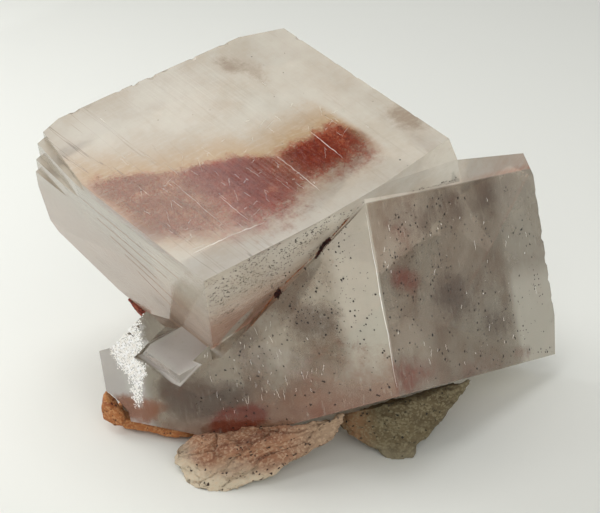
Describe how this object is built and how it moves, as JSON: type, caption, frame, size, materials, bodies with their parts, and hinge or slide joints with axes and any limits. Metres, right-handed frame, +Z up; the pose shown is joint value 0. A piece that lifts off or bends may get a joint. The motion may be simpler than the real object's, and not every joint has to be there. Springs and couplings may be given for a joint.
{
  "type": "calcite crystal specimen",
  "caption": "Calcite specimen: intergrown clear rhombohedral crystals with red hematite dust, resting on rough matrix lumps and a thin iron crust.",
  "frame": {"origin": "on the surface the specimen stands on, under the middle of its bounding box", "axes": "+Z up, +X to the right in the front view, +Y away from the viewer"},
  "size_m": [0.0876, 0.0776, 0.0638],
  "materials": {
    "calcite": "clear to milky cleavage faces, red inclusions",
    "sandy_matrix": "rough, layered, sandy",
    "granular_matrix": "rough, granular",
    "limonite_crust": "rough, earthy",
    "hematite_crust": "rough, earthy"
  },
  "bodies": {
    "root": {"calcite_crystals": "calcite", "matrix_left": "sandy_matrix", "matrix_right": "granular_matrix", "base_crust": "limonite_crust", "side_crust": "hematite_crust"}
  },
  "joints": []
}
